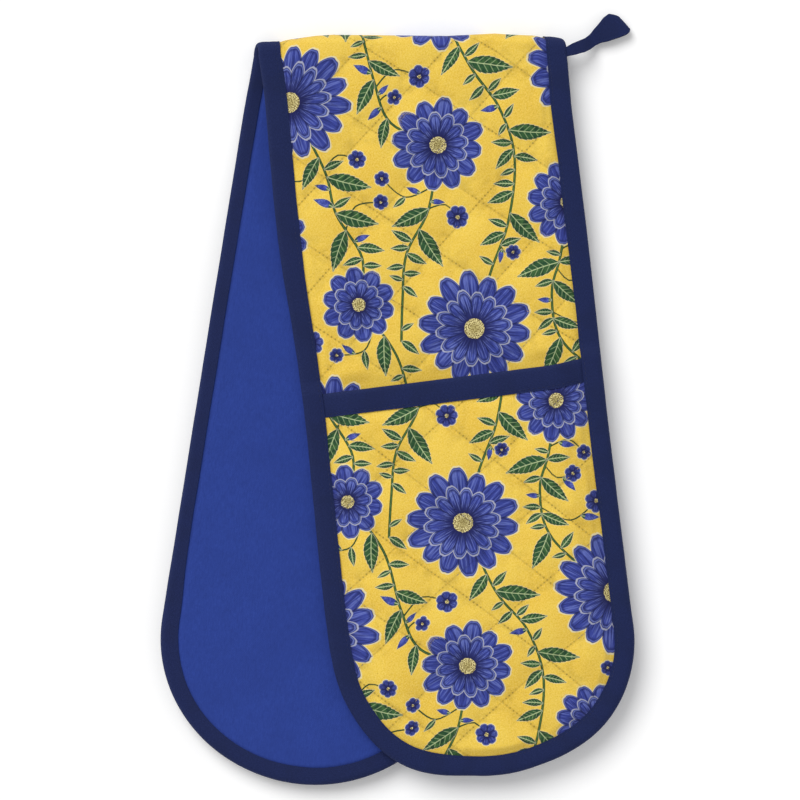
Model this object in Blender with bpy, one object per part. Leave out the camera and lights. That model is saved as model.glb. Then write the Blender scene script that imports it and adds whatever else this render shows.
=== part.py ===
"""Double oven glove, folded in half and lying flat, print side out.

A long quilted strip with round ends is folded across its middle, a little askew, so the lower
half shows its plain lining beside the upper one. Each end carries a quilted pocket for a hand,
sewn on over the printed side. A tape binds the whole edge, a second one the mouth of each pocket,
and a tape loop hangs from the edge beside the fold. Metres, +Z up, +Y towards the fold.
"""
import math

import bmesh
import bpy
from mathutils import Matrix, Vector

# Outline of the strip
strip_width = 0.180
half_length = 0.43815
tip_depth = 0.084
pocket_length = 0.2432
fold_skew = math.radians(8.13)
fold_reach = 0.0062
sag_level = 0.010

# Cloth, wadding and tape
cover_cloth = 0.0004
lining_cloth = 0.0006
pocket_lining_cloth = 0.0004
tape = 0.0006
wadding_at_edge = 0.0008
wadding_at_stitch = 0.0026
wadding_puff = 0.0014
pocket_wadding_at_edge = 0.0007
pocket_wadding_at_stitch = 0.0015
pocket_wadding_puff = 0.0009
clearance = 0.0003

# Binding
binding_front = 0.012
binding_back = 0.0085
binding_roll = 0.0022
binding_step = 0.014
mouth_binding_front = 0.014
mouth_binding_back = 0.010
edge_ramp = 0.0055

# Quilting
quilt_pitch = 0.038
quilt_angle = math.radians(40)
quilt_offset = 0.12015
pocket_quilt_turn = math.radians(5)
crest_share = 0.70
full_puff_share = 0.45
snap = 0.0012

# Hand space of a pocket
pocket_bow = 0.0052
pocket_bow_ramp = 0.0075
pocket_bow_length = 0.145

# Mitre beside the fold
mitre_clearance = 0.00025
mitre_fade = 0.030

# Hanging loop
loop_tape = 0.0009
loop_length = 0.0385
loop_end_width = 0.0154
loop_open = 0.0054
loop_slit = 0.0003
loop_heading = math.radians(20.5)
loop_place = 0.0045
loop_droop_start = 0.0015
loop_droop_end = 0.0200
loop_spread_start = 0.0130
loop_spread_end = 0.0260
loop_turn_length = 0.008
loop_floor_gap = 0.0003
loop_width_shares = ((0.0, 0.38), (0.25, 0.46), (0.42, 0.44), (0.57, 0.61), (0.73, 0.87),
                     (0.90, 1.0), (1.0, 0.86))

# Facets
tip_steps = 20
roll_steps = 6
fold_steps = 10
loop_steps = 14
loop_end_steps = 6
loop_root_steps = 4
sag_steps = 9

# Heights over the plane where the two linings meet, which is halfway through the folded glove
half_width = strip_width / 2
mouth_at = half_length - pocket_length
tip_centre = half_length - tip_depth
contact = clearance / 2
edge_inset = binding_roll + clearance
leg_inset = binding_front + clearance
full_inset = leg_inset + edge_ramp
bowed_inset = full_inset + pocket_bow_ramp
lining_edge = contact + tape + clearance
wadding_edge_top = lining_edge + lining_cloth + clearance + wadding_at_edge
wadding_stitch_top = contact + lining_cloth + clearance + wadding_at_stitch
cover_edge_top = wadding_edge_top + clearance + cover_cloth
cover_stitch_top = wadding_stitch_top + clearance + cover_cloth
strip_binding_top = cover_edge_top + clearance + tape
mouth_binding_room = clearance + tape + clearance
pocket_lining_edge = cover_edge_top + mouth_binding_room
pocket_lining_low = cover_stitch_top + mouth_binding_room
pocket_edge_stack = pocket_lining_cloth + clearance + pocket_wadding_at_edge + clearance + cover_cloth
pocket_edge_top = pocket_lining_edge + pocket_edge_stack
pocket_binding_top = pocket_edge_top + clearance + tape
hinge_height = strip_binding_top
fold_sag = 2 * hinge_height
sag_end = mouth_at - binding_step
pocket_crest_top = (pocket_lining_low + pocket_bow + pocket_lining_cloth + clearance
                    + pocket_wadding_at_stitch + pocket_wadding_puff + clearance + cover_cloth)
middle_height = pocket_crest_top
binding_middle = (contact + strip_binding_top) / 2

# Colours of the cloths, as linear values
print_colour = (0.90, 0.60, 0.07, 1.0)
lining_colour = (0.027, 0.055, 0.27, 1.0)
tape_colour = (0.016, 0.025, 0.085, 1.0)
wadding_colour = (0.86, 0.85, 0.81, 1.0)


def material(name, colour, roughness):
    made = bpy.data.materials.get(name) or bpy.data.materials.new(name)
    made.use_nodes = True
    shader = made.node_tree.nodes["Principled BSDF"]
    shader.inputs["Base Color"].default_value = colour
    shader.inputs["Roughness"].default_value = roughness
    shader.inputs["Metallic"].default_value = 0.0
    return made


def blend(low, high, share):
    return low + (high - low) * share


def ease(share):
    """A smooth rise from 0 to 1 while share goes from 0 to 1."""
    inside = min(1.0, max(0.0, share))
    return inside * inside * (3 - 2 * inside)


def to_mesh(name, points, faces):
    """A closed mesh from points and faces, with its faces turned outwards."""
    work = bmesh.new()
    corners = [work.verts.new(point) for point in points]
    for face in faces:
        work.faces.new([corners[index] for index in face])
    bmesh.ops.recalc_face_normals(work, faces=work.faces)
    mesh = bpy.data.meshes.new(name)
    work.to_mesh(mesh)
    work.free()
    mesh.shade_smooth()
    mesh.set_sharp_from_angle(angle=math.radians(35))
    return mesh


def loft(rings, closed=False):
    """Points and faces of a skin drawn through rings of points, with its ends filled."""
    count = len(rings[0])
    points = [point for ring in rings for point in ring]
    faces = []
    spans = len(rings) if closed else len(rings) - 1
    for row in range(spans):
        here = row * count
        there = (row + 1) % len(rings) * count
        for column in range(count):
            after = (column + 1) % count
            faces.append((here + column, here + after, there + after, there + column))
    if not closed:
        faces.append(tuple(range(count)))
        faces.append(tuple(range((len(rings) - 1) * count, len(rings) * count)))
    return points, faces


# The strip seen flat: across its width, and along from the fold to the round end

def hinge_line(across):
    """How far along the strip the fold lies, at this place across it."""
    return across * math.tan(fold_skew)


def mouth_line(across):
    """How far along the strip the layers of the pocket begin."""
    return mouth_at + edge_inset


def rail(inset, start):
    """The outline drawn in by inset, from the start line down one side and back up the other."""
    side = half_width - inset
    depth = tip_depth - inset
    places = [(-side, start(-side))]
    for step in range(tip_steps + 1):
        angle = math.pi * step / tip_steps
        places.append((-side * math.cos(angle), tip_centre + depth * math.sin(angle)))
    places.append((side, start(side)))
    return places


def drop(across, along):
    """How far the lower half sags: fully beside the fold, and not at all where its pocket lies."""
    start = hinge_line(across) + sag_level
    return fold_sag * (1 - ease((along - start) / (sag_end - start)))


def sag_rows():
    return [sag_end * step / sag_steps for step in range(1, sag_steps + 1)]


ZONES = ("ring", "quilted", "plain")
RING = ZONES.index("ring")
QUILTED = ZONES.index("quilted")
PLAIN = ZONES.index("plain")


def cut(work, zone, point, normal):
    """Divides the faces of one zone along an upright plane."""
    faces = [face for face in work.faces if face.material_index == zone]
    edges = {edge for face in faces for edge in face.edges}
    corners = {corner for face in faces for corner in face.verts}
    bmesh.ops.bisect_plane(work, geom=faces + list(edges) + list(corners), dist=snap,
                           plane_co=point, plane_no=normal)


def cut_stitch_lines(work, turn):
    """Divides the quilted zone along two sets of slanting lines, which leaves diamonds."""
    reach = math.ceil((half_length + strip_width) / quilt_pitch)
    for sign in (-1, 1):
        slope = sign * quilt_angle + turn
        direction = Vector((math.sin(slope), math.cos(slope), 0.0))
        middle = Vector((0.0, -quilt_offset, 0.0))
        for line in range(-reach, reach + 1):
            cut(work, QUILTED, middle + direction * (line * quilt_pitch), direction)


def flat_panel(start, insets):
    """A flat panel in borders round one inner face; z is 0 where it is bound and 1 inside."""
    work = bmesh.new()
    rails = []
    for inset in insets:
        share = 0.0 if inset <= leg_inset else 1.0
        rails.append([work.verts.new((across, -along, share)) for across, along in rail(inset, start)])
    for outer, inner in zip(rails, rails[1:]):
        for index in range(len(outer) - 1):
            work.faces.new((outer[index], outer[index + 1], inner[index + 1], inner[index]))
    work.faces.new(rails[-1]).material_index = QUILTED
    return work


def strip_panel():
    """The panel of the strip, quilted between the fold and the mouth of the pocket."""
    work = flat_panel(hinge_line, (edge_inset, leg_inset, full_inset))
    quilt_end = mouth_at - clearance
    cut(work, QUILTED, (0.0, -quilt_end, 0.0), (0.0, 1.0, 0.0))
    for face in work.faces:
        if face.material_index == QUILTED and face.calc_center_median().y < -quilt_end:
            face.material_index = PLAIN
    for row in sag_rows():
        cut(work, RING, (0.0, -row, 0.0), (0.0, 1.0, 0.0))
    cut_stitch_lines(work, 0.0)
    return read_panel(work)


def pocket_panel():
    """The panel of a pocket: a plain stretch under the mouth's binding, a ramp, then quilting."""
    work = flat_panel(mouth_line, (edge_inset, leg_inset, full_inset, bowed_inset))
    bound = mouth_at + mouth_binding_front + clearance
    full = bound + edge_ramp
    for row in (bound, full):
        for zone in (RING, QUILTED):
            cut(work, zone, (0.0, -row, 0.0), (0.0, 1.0, 0.0))
    for face in work.faces:
        if face.material_index == QUILTED and face.calc_center_median().y > -full:
            face.material_index = PLAIN
    cut_stitch_lines(work, pocket_quilt_turn)
    return read_panel(work)


def read_panel(work):
    """The panel's points, its plain triangles, its quilted patches and the loop of its border."""
    plain = [face for face in work.faces if face.material_index != QUILTED]
    bmesh.ops.triangulate(work, faces=plain)
    work.verts.index_update()
    points = [corner.co.copy() for corner in work.verts]
    triangles = []
    patches = []
    for face in work.faces:
        corners = [corner.index for corner in face.verts]
        if face.material_index == QUILTED:
            patches.append(turned_for_fan(corners, points))
        else:
            triangles.append(corners)
    following = {}
    for edge in work.edges:
        if edge.is_boundary:
            side = edge.link_loops[0]
            following[side.vert.index] = side.link_loop_next.vert.index
    start = min(following)
    border = [start]
    while following[border[-1]] != start:
        border.append(following[border[-1]])
    work.free()
    return points, triangles, patches, border


def turned_for_fan(corners, points):
    """The corners of a patch, started where a fan of triangles has no thin ones."""
    def thinnest(start):
        places = [Vector((points[index].x, points[index].y, 0.0))
                  for index in corners[start:] + corners[:start]]
        return min((here - places[0]).cross(there - places[0]).z
                   for here, there in zip(places[1:], places[2:]))
    start = max(range(len(corners)), key=thinnest)
    return corners[start:] + corners[:start]


def patch_area(corners):
    total = 0.0
    for here, there in zip(corners, corners[1:] + corners[:1]):
        total += here.x * there.y - there.x * here.y
    return abs(total) / 2


def surface(panel, height, puffed):
    """One face of a layer: its points at their heights, and its triangles."""
    base, triangles, patches, _ = panel
    places = [(point, 0.0) for point in base]
    faces = [list(face) for face in triangles]
    whole_area = quilt_pitch * quilt_pitch / math.sin(2 * quilt_angle)
    for patch in patches:
        corners = [base[index] for index in patch]
        count = len(corners)
        if not puffed:
            faces.extend([patch[0], patch[step], patch[step + 1]] for step in range(1, count - 1))
            continue
        middle = sum(corners, Vector()) / count
        puff = min(1.0, math.sqrt(patch_area(corners) / (whole_area * full_puff_share)))
        first = len(places)
        places.extend((middle + (corner - middle) * crest_share, puff) for corner in corners)
        for step in range(count):
            after = (step + 1) % count
            faces.append([patch[step], patch[after], first + after])
            faces.append([patch[step], first + after, first + step])
        faces.extend([first, first + step, first + step + 1] for step in range(1, count - 1))
    points = [Vector((point.x, point.y, height(point.x, -point.y, point.z, puff)))
              for point, puff in places]
    return points, faces


def mitred(point):
    """Draws a point beside the fold back to the mitre, where the fold's own pieces begin."""
    from_hinge = -point.y - hinge_line(point.x)
    share = max(0.0, 1 - from_hinge / mitre_fade)
    shift = (hinge_height - point.z + mitre_clearance) / math.cos(fold_skew)
    return Vector((point.x, point.y - shift * share, point.z))


def layer(name, panel, low, high, puffed, beside_fold):
    """A closed layer of cloth or wadding between two heights over the panel."""
    low_points, low_faces = surface(panel, low, puffed[0])
    high_points, high_faces = surface(panel, high, puffed[1])
    offset = len(low_points)
    points = low_points + high_points
    if beside_fold:
        points = [mitred(point) for point in points]
    faces = [face[::-1] for face in low_faces]
    faces += [[index + offset for index in face] for face in high_faces]
    border = panel[3]
    for here, there in zip(border, border[1:] + border[:1]):
        faces.append([here, there, there + offset])
        faces.append([here, there + offset, here + offset])
    return to_mesh(name, points, faces)


# Heights of the strip's layers: share is 0 in the bound border and 1 inside it

def lining_low(across, along, share, puff):
    return blend(lining_edge, contact, share)


def lining_high(across, along, share, puff):
    return lining_low(across, along, share, puff) + lining_cloth


def wadding_low(across, along, share, puff):
    return lining_high(across, along, share, puff) + clearance


def wadding_high(across, along, share, puff):
    return blend(wadding_edge_top, wadding_stitch_top, share) + wadding_puff * puff


def cover_low(across, along, share, puff):
    return wadding_high(across, along, share, puff) + clearance


def cover_high(across, along, share, puff):
    return cover_low(across, along, share, puff) + cover_cloth


# Heights of the pocket's layers, which bow up round the space for a hand

def bow(across, along):
    sideways = ease((half_width - full_inset - abs(across)) / pocket_bow_ramp)
    bow_end = mouth_at + pocket_bow_length
    lengthways = 1 - ease((along - bow_end) / (half_length - full_inset - bow_end))
    return pocket_bow * sideways * lengthways


def filled(along, share):
    """How far the wadding is let out: 0 under a binding, 1 in the open."""
    from_mouth = along - (mouth_at + mouth_binding_front + clearance)
    return share * min(1.0, max(0.0, from_mouth / edge_ramp))


def pocket_lining_under(across, along, share, puff):
    return blend(pocket_lining_edge, pocket_lining_low + bow(across, along), share)


def pocket_lining_over(across, along, share, puff):
    return pocket_lining_under(across, along, share, puff) + pocket_lining_cloth


def pocket_wadding_under(across, along, share, puff):
    return pocket_lining_over(across, along, share, puff) + clearance


def pocket_wadding_over(across, along, share, puff):
    thickness = blend(pocket_wadding_at_edge, pocket_wadding_at_stitch, filled(along, share))
    return pocket_wadding_under(across, along, share, puff) + thickness + pocket_wadding_puff * puff


def pocket_cover_under(across, along, share, puff):
    return pocket_wadding_over(across, along, share, puff) + clearance


def pocket_cover_over(across, along, share, puff):
    return pocket_cover_under(across, along, share, puff) + cover_cloth


# Bindings

def folded_tape(low, high, back, front):
    """Section of a tape folded round an edge, as inset and height, with a rolled outer side."""
    middle = (low + high) / 2
    half = (high - low) / 2
    angles = [math.pi * (step / roll_steps - 0.5) for step in range(roll_steps + 1)]
    outside = [(binding_roll * (1 - math.cos(angle)), middle + half * math.sin(angle))
               for angle in angles]
    inner_roll = binding_roll - tape
    inside = [(binding_roll - inner_roll * math.cos(angle), middle + (half - tape) * math.sin(angle))
              for angle in reversed(angles)]
    return [(back, low)] + outside + [(front, high), (front, high - tape)] + inside + [(back, low + tape)]


def edge_binding():
    """The tape round the whole edge of one half, taller where it also closes the pocket."""
    straight = folded_tape(contact, strip_binding_top, binding_back, binding_front)
    raised = folded_tape(contact, pocket_binding_top, binding_back, binding_front)
    rings = []
    for side in (-1, 1):
        rows = []
        rows.append([mitred(Vector((side * (half_width - inset), -hinge_line(side * (half_width - inset)),
                                    height))) for inset, height in straight])
        for along in sag_rows():
            rows.append([mitred(Vector((side * (half_width - inset), -along, height)))
                         for inset, height in straight])
        rows.append([Vector((side * (half_width - inset), -mouth_at, height))
                     for inset, height in raised])
        if side < 0:
            rings.extend(rows)
            for step in range(tip_steps + 1):
                angle = math.pi * step / tip_steps
                rings.append([Vector((-(half_width - inset) * math.cos(angle),
                                      -tip_centre - (tip_depth - inset) * math.sin(angle), height))
                              for inset, height in raised])
        else:
            rings.extend(reversed(rows))
    return to_mesh("edge_binding", *loft(rings))


def sagged(mesh):
    """A copy of one of the strip's layers, let down beside the fold as the lower half lies."""
    lowered = mesh.copy()
    for corner in lowered.vertices:
        corner.co.z += drop(corner.co.x, -corner.co.y)
    return lowered


def mouth_binding():
    """The tape round the mouth of a pocket, from one edge binding to the other."""
    outer = [(half_width - inset, share)
             for inset, share in ((leg_inset, 0.0), (full_inset, 1.0), (bowed_inset, 1.0))]
    places = [(-across, share) for across, share in outer] + outer[::-1]
    rings = []
    for across, share in places:
        base = pocket_lining_under(across, mouth_at, share, 0.0)
        section = folded_tape(base - clearance - tape, base + pocket_edge_stack + clearance + tape,
                              mouth_binding_back, mouth_binding_front)
        rings.append([Vector((across, -(mouth_at + inset), height)) for inset, height in section])
    return to_mesh("mouth_binding", *loft(rings))


# Pieces round the fold

def round_fold(across, height, turn):
    """A place on the strip carried round the fold; turn runs from -1 below to 1 above."""
    angle = turn * math.pi / 2
    inward = hinge_height - height
    half_gap = fold_sag / 2
    sway = (half_gap + hinge_height + inward) * math.sin(angle) * math.tan(fold_skew)
    return Vector((across / math.cos(fold_skew) + sway,
                   fold_reach * math.cos(angle) - inward + mitre_clearance,
                   (half_gap + height) * math.sin(angle)))


def fold_turns():
    return [2 * step / fold_steps - 1 for step in range(fold_steps + 1)]


def fold_layer(name, low, high):
    """One layer of the strip where it runs round the fold."""
    places = ((edge_inset, 0.0), (leg_inset, 0.0), (full_inset, 1.0))
    stations = [(inset - half_width, share) for inset, share in places]
    stations += [(half_width - inset, share) for inset, share in reversed(places)]
    rings = []
    for across, share in stations:
        outer = [round_fold(across, high(across, 0.0, share, 0.0), turn) for turn in fold_turns()]
        inner = [round_fold(across, low(across, 0.0, share, 0.0), turn)
                 for turn in reversed(fold_turns())]
        rings.append(outer + inner)
    return to_mesh(name, *loft(rings))


def fold_binding(side):
    """The edge tape where it runs round one end of the fold."""
    section = folded_tape(contact, strip_binding_top, binding_back, binding_front)
    rings = []
    for turn in fold_turns():
        rings.append([round_fold(side * (half_width - inset), height, turn)
                      for inset, height in section])
    return to_mesh("fold_binding", *loft(rings))


# Hanging loop

def loop_width(out):
    share = min(1.0, max(0.0, out / loop_length))
    for (before, narrow), (after, wide) in zip(loop_width_shares, loop_width_shares[1:]):
        if share <= after:
            return loop_end_width * blend(narrow, wide, (share - before) / (after - before))
    return loop_end_width * loop_width_shares[-1][1]


def hanging_loop():
    """A closed band of tape: a narrow stem that droops, then a flared loop that lies open."""
    spread_open = (loop_open + loop_tape) / 2
    spread_shut = (loop_slit + loop_tape) / 2
    floor = -middle_height - binding_middle
    droop = floor + loop_floor_gap + loop_tape / 2 + spread_open
    last = loop_length - spread_open - loop_tape / 2

    def middle(out):
        fall = (out - loop_droop_start) / (loop_droop_end - loop_droop_start)
        return Vector((out, 0.0, droop * ease(fall)))

    def spread(out):
        share = (out - loop_spread_start) / (loop_spread_end - loop_spread_start)
        return blend(spread_shut, spread_open, ease(share))

    outs = [last * step / loop_steps for step in range(loop_steps + 1)]
    path = []
    for sign, run in ((1, outs), (-1, outs[::-1])):
        for out in run:
            ahead = (middle(out + loop_slit) - middle(out - loop_slit)).normalized()
            normal = Vector((-ahead.z, 0.0, ahead.x)) * sign
            path.append((middle(out), normal, spread(out)))
        steps = loop_end_steps if sign > 0 else loop_root_steps
        centre, normal, radius = path[-1]
        forward = Vector((sign, 0.0, 0.0))
        for step in range(1, steps):
            angle = math.pi * step / steps
            path.append((centre, normal * math.cos(angle) + forward * math.sin(angle), radius))
    root = Vector((half_width + clearance + spread_shut + loop_tape / 2,
                   -(hinge_line(half_width) + loop_place), binding_middle))
    rings = []
    for centre, normal, radius in path:
        ring = []
        for offset, side in ((-1, -1), (1, -1), (1, 1), (-1, 1)):
            place = centre + normal * (radius + offset * loop_tape / 2)
            turn = loop_heading * ease(centre.x / loop_turn_length)
            half = side * loop_width(centre.x) / 2
            ring.append(root + Vector((place.x * math.cos(loop_heading) - half * math.sin(turn),
                                       place.x * math.sin(loop_heading) + half * math.cos(turn),
                                       place.z)))
        rings.append(ring)
    return to_mesh("hanging_loop", *loft(rings, closed=True)), root


def axis_empty(name, place, rotation):
    empty = bpy.data.objects.new(name, None)
    empty.location = place
    empty.rotation_euler = rotation
    bpy.context.scene.collection.objects.link(empty)
    return empty


def add(name, mesh, surface_material, parent, place):
    piece = bpy.data.objects.new(name, mesh.copy())
    piece.data.materials.append(surface_material)
    piece.parent = parent
    piece.location = place
    bpy.context.scene.collection.objects.link(piece)
    return piece


def centre_on_floor(pieces, holder):
    """Moves the whole glove so the middle of its box stands over the origin."""
    bpy.context.view_layer.update()
    corners = [piece.matrix_world @ corner.co for piece in pieces for corner in piece.data.vertices]
    low = [min(corner[axis] for corner in corners) for axis in range(3)]
    high = [max(corner[axis] for corner in corners) for axis in range(3)]
    holder.location = (-(low[0] + high[0]) / 2, -(low[1] + high[1]) / 2, -low[2])
    bpy.context.view_layer.update()


def build():
    for old in list(bpy.data.objects):
        bpy.data.objects.remove(old, do_unlink=True)
    printed = material("printed_cotton", print_colour, 0.85)
    plain = material("brushed_cotton", lining_colour, 0.9)
    bound = material("binding_tape", tape_colour, 0.8)
    filling = material("wadding", wadding_colour, 0.95)

    holder = axis_empty("glove", (0.0, 0.0, 0.0), (0.0, 0.0, 0.0))
    side_shift = (hinge_height + fold_sag / 2) * math.tan(fold_skew)
    above = axis_empty("fold_upper_axis", (side_shift, 0.0, middle_height + hinge_height),
                       (0.0, 0.0, fold_skew))
    below = axis_empty("fold_lower_axis", (-side_shift, 0.0, middle_height - hinge_height - fold_sag),
                       (0.0, math.pi, -fold_skew))
    between = axis_empty("fold_middle", (0.0, 0.0, middle_height - fold_sag / 2), (0.0, 0.0, 0.0))
    for empty in (above, below, between):
        empty.parent = holder

    strip = strip_panel()
    pocket = pocket_panel()
    meshes = {
        "cover": (layer("cover", strip, cover_low, cover_high, (True, True), True), printed),
        "wadding": (layer("wadding", strip, wadding_low, wadding_high, (False, True), True), filling),
        "lining": (layer("lining", strip, lining_low, lining_high, (False, False), True), plain),
        "pocket_cover": (layer("pocket_cover", pocket, pocket_cover_under, pocket_cover_over,
                               (True, True), False), printed),
        "pocket_wadding": (layer("pocket_wadding", pocket, pocket_wadding_under,
                                 pocket_wadding_over, (False, True), False), filling),
        "pocket_lining": (layer("pocket_lining", pocket, pocket_lining_under, pocket_lining_over,
                                (False, False), False), plain),
        "mouth_binding": (mouth_binding(), bound),
        "edge_binding": (edge_binding(), bound),
    }
    pieces = []
    for name, (mesh, surface_material) in meshes.items():
        pieces.append(add(f"front_{name}", mesh, surface_material, above, (0.0, 0.0, -hinge_height)))
        pieces.append(add(f"back_{name}", sagged(mesh), surface_material, below,
                          (0.0, 0.0, -hinge_height - fold_sag)))
    folds = (
        ("fold_cover", fold_layer("fold_cover", cover_low, cover_high), printed),
        ("fold_wadding", fold_layer("fold_wadding", wadding_low, wadding_high), filling),
        ("fold_lining", fold_layer("fold_lining", lining_low, lining_high), plain),
        ("fold_binding_left", fold_binding(-1), bound),
        ("fold_binding_right", fold_binding(1), bound),
    )
    for name, mesh, surface_material in folds:
        pieces.append(add(name, mesh, surface_material, between, (0.0, 0.0, 0.0)))

    loop_mesh, root = hanging_loop()
    loop_mesh.transform(Matrix.Translation(-root))
    seam = axis_empty("loop_axis", (root.x, root.y, root.z - hinge_height), (0.0, 0.0, 0.0))
    seam.parent = above
    pieces.append(add("hanging_loop", loop_mesh, bound, seam, (0.0, 0.0, 0.0)))
    centre_on_floor(pieces, holder)
    for empty in (above, below, seam):
        print(empty.name, [round(value, 6) for value in empty.matrix_world.translation])


build()
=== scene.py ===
"""Looks of the double oven glove: printed cotton, quilting, brushed lining, bound edges and loop.

Places in the cloth are in millimetres: across a half of the strip, along it from the fold, and the
height over the plane where the two linings meet. They become metres when a mesh is made.
"""
from functools import partialmethod
from math import atan2, cos, pi, radians, sin, tan

import bpy
import numpy as np
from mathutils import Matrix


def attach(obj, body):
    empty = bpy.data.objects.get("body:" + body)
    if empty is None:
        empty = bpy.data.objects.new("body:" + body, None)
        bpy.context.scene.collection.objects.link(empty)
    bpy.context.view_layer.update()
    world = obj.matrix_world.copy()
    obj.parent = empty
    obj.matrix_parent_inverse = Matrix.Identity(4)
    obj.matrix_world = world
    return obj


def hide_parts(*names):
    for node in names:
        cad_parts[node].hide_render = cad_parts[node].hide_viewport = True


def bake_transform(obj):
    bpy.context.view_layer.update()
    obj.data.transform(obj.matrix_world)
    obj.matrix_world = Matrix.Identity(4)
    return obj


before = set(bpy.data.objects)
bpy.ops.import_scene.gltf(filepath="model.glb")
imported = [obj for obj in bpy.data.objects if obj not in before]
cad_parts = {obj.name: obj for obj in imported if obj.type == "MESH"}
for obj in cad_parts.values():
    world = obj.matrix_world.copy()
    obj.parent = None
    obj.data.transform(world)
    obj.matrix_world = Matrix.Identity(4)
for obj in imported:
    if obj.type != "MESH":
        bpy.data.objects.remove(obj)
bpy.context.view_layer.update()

MM = 0.001
SKEW = radians(8.13)
COS, SIN, TAN = cos(SKEW), sin(SKEW), tan(SKEW)

HALF_WIDTH = 90
HALF_LENGTH = 438.15
TIP_DEPTH = 84
TIP_CENTRE = HALF_LENGTH - TIP_DEPTH
MOUTH = 194.95
HINGE = 4.35
SAG = 2 * HINGE
SAG_LEVEL = 10
SAG_END = MOUTH - 14
FOLD_REACH = 6.2
MITRE_FADE = 30
LEAN_FADE = 60
MIDDLE = 14.55
PRESSED = 0.04
FOLD_MIDDLE = MIDDLE - SAG / 2
HINGE_Y = 206.917
SHIFT = (HINGE + SAG / 2) * TAN
LEG = 12.3
BACK_LEG = 8.6
LEG_RAMP = 7
COVER_EDGE = 3.45
POCKET_STEP = 3.3
EDGE_LEGS, MOUTH_LEGS = (12, 8.4), (14, 10)
TAPE_DOUBLED = 0.65

PITCH = 38
QUILT_START = 120.15
QUILT_ANGLE = radians(40)
STITCH = 2.6
POCKET_TURN = radians(5)


def smooth(x):
    x = np.clip(x, 0, 1)
    return x * x * (3 - 2 * x)


def noise(x, y, size, seed):
    """Smooth random values from -1 to 1 that change over about size millimetres."""
    table = np.random.default_rng(seed).uniform(-1, 1, (256, 256))
    x, y = np.asarray(x) / size + 100.5, np.asarray(y) / size + 100.5
    i, j = np.floor(x).astype(int), np.floor(y).astype(int)
    u, v = smooth(x - i), smooth(y - j)
    low, high = (table[i % 256, k % 256] * (1 - u) + table[(i + 1) % 256, k % 256] * u for k in (j, j + 1))
    return low * (1 - v) + high * v


def run_along(x, y):
    """Length from the first point of a line to each of its points."""
    return np.concatenate([[0], np.cumsum(np.hypot(np.diff(x), np.diff(y)))])


def beside(*values):
    """The values side by side, in a new last axis."""
    return np.stack(np.broadcast_arrays(*values), axis=-1)


# Places on the strip

ARC_ANGLES = np.linspace(0, pi / 2, 400)
ARC_LENGTHS = run_along(FOLD_REACH * np.cos(ARC_ANGLES), (SAG / 2 + HINGE) * np.sin(ARC_ANGLES))
QUARTER = ARC_LENGTHS[-1]


def hinge(a):
    return a * TAN


def drop(a, s):
    start = hinge(a) + SAG_LEVEL
    return SAG * (1 - smooth((s - start) / (SAG_END - start)))


# How the cloth settled. The fold's edge: the place across and how far it stands out. The left edge
# of the front half: the place along and how far it stands in.
FOLD_WAVE = ((-92, -83, -74, -65, -56, -46, 22, 41, 50, 60, 76, 88),
             (-5, -5, -3.7, -2.2, -0.8, 0, 0.5, 1.8, 2.4, 1.9, 1.5, 0.4))
LEFT_WAVE = ((40, 60, 80, 103, 125, 150, 174, 200, 222, 250, 293, 325, 345, 365, 387, 410),
             (0, -0.4, -1.1, -1.5, -1, 0.2, 1, 1.2, 1, 0.3, -0.9, -1.4, -1.2, 0, 0.8, 0))


def settled(half, a, s, x, y):
    """Where a place comes to lie once its half has crept along and aside."""
    if half == "front":
        blunt = 1 - np.where(a < 0, 0.90 * smooth((-a - 14) / 50), 0.54 * smooth((a - 20) / 55))
        right = np.clip(a / HALF_WIDTH, 0, 1)
        left = np.clip(-a / HALF_WIDTH, 0, 1)
        longer = 2.4 * smooth((s - 40) / 150) - 7.1 * blunt * smooth((s - 210) / 228)
        longer = longer - 2 * smooth((a - 55) / 28) * np.exp(-((s - 200) / 45) ** 2)
        aside = -1.3 * smooth((s - 5) / 50) + left * np.interp(s, *LEFT_WAVE)
        aside = aside - right * (1.9 * smooth((s - 90) / 200) - 1.1 * smooth((s - 340) / 70))
        return x + aside * COS + longer * SIN, y + aside * SIN - longer * COS
    longer = 3 * smooth((s - 200) / 238)
    return x - longer * SIN, y - longer * COS


def place(half, a, s, h):
    """World place; where s is less than at the hinge line, it runs on round the fold to its middle."""
    a, s, h = np.broadcast_arrays(a, s, h)
    side = 1 if half == "front" else -1
    past = np.clip(hinge(a) - s, 0, QUARTER)
    turn = np.interp(QUARTER - past, ARC_LENGTHS, ARC_ANGLES)
    start = np.maximum(s, hinge(a))
    fade = np.clip(1 - (start - hinge(a)) / MITRE_FADE, 0, 1)
    along = start + (HINGE - h) / COS * fade
    x = side * (SHIFT + a * COS + along * SIN)
    y = HINGE_Y + a * SIN - along * COS
    z = MIDDLE + h if half == "front" else np.maximum(MIDDLE - h - drop(a, start), PRESSED)
    x, y = settled(half, a, start, x, y)
    round_x = side * (a / COS + (SAG / 2 + 2 * HINGE - h) * np.sin(turn) * TAN)
    round_y = HINGE_Y + FOLD_REACH * np.cos(turn) - (HINGE - h)
    round_z = FOLD_MIDDLE + side * (SAG / 2 + h) * np.sin(turn)
    folded = past > 0
    x, y = np.where(folded, round_x, x), np.where(folded, round_y, y)
    y = y + np.interp(x, *FOLD_WAVE) * smooth((y - HINGE_Y + 40) / 36)
    return beside(x, y, np.where(folded, round_z, z)) * MM


def lean(r, a):
    """Place along the strip of row r: rows follow the hinge line at the fold and level out after it."""
    return r + hinge(a) * (1 - smooth(r / LEAN_FADE))


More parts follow.
